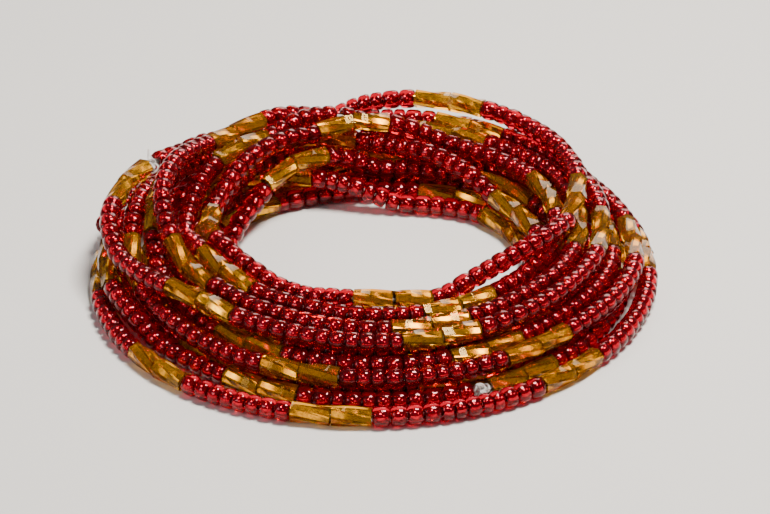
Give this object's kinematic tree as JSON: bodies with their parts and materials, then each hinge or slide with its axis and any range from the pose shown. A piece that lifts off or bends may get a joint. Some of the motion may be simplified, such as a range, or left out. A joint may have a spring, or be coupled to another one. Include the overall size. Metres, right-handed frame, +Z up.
{
  "type": "waist beads",
  "caption": "Endless waist string of small round glass seed beads broken up by pairs of twisted bugle beads, laid down in a loose round coil.",
  "frame": {"origin": "on the resting surface, under the middle of the coil's box", "axes": "+Z up out of the surface, -Y towards the front, +X to the right as seen from the front"},
  "size_m": [0.0828, 0.0818, 0.0146],
  "materials": {
    "ruby_glass": "deep red silver-lined glass, glossy",
    "gold_glass": "amber silver-lined glass, glossy, faceted",
    "clear_thread": "translucent pale thread, melted ends"
  },
  "bodies": {
    "root": {"back_knot": "clear_thread", "closing_knot": "clear_thread", "front_knot": "clear_thread", "gold_pair_01": "gold_glass", "gold_pair_02": "gold_glass", "gold_pair_03": "gold_glass", "gold_pair_04": "gold_glass", "gold_pair_05": "gold_glass", "gold_pair_06": "gold_glass", "gold_pair_07": "gold_glass", "gold_pair_08": "gold_glass", "gold_pair_09": "gold_glass", "gold_pair_10": "gold_glass", "gold_pair_11": "gold_glass", "gold_pair_12": "gold_glass", "gold_pair_13": "gold_glass", "gold_pair_14": "gold_glass", "gold_pair_15": "gold_glass", "gold_pair_16": "gold_glass", "gold_pair_17": "gold_glass", "string_1_first_half": "ruby_glass", "string_1_second_half": "ruby_glass", "string_2_first_half": "ruby_glass", "string_2_second_half": "ruby_glass", "string_3_first_half": "ruby_glass", "string_3_second_half": "ruby_glass"}
  },
  "joints": []
}
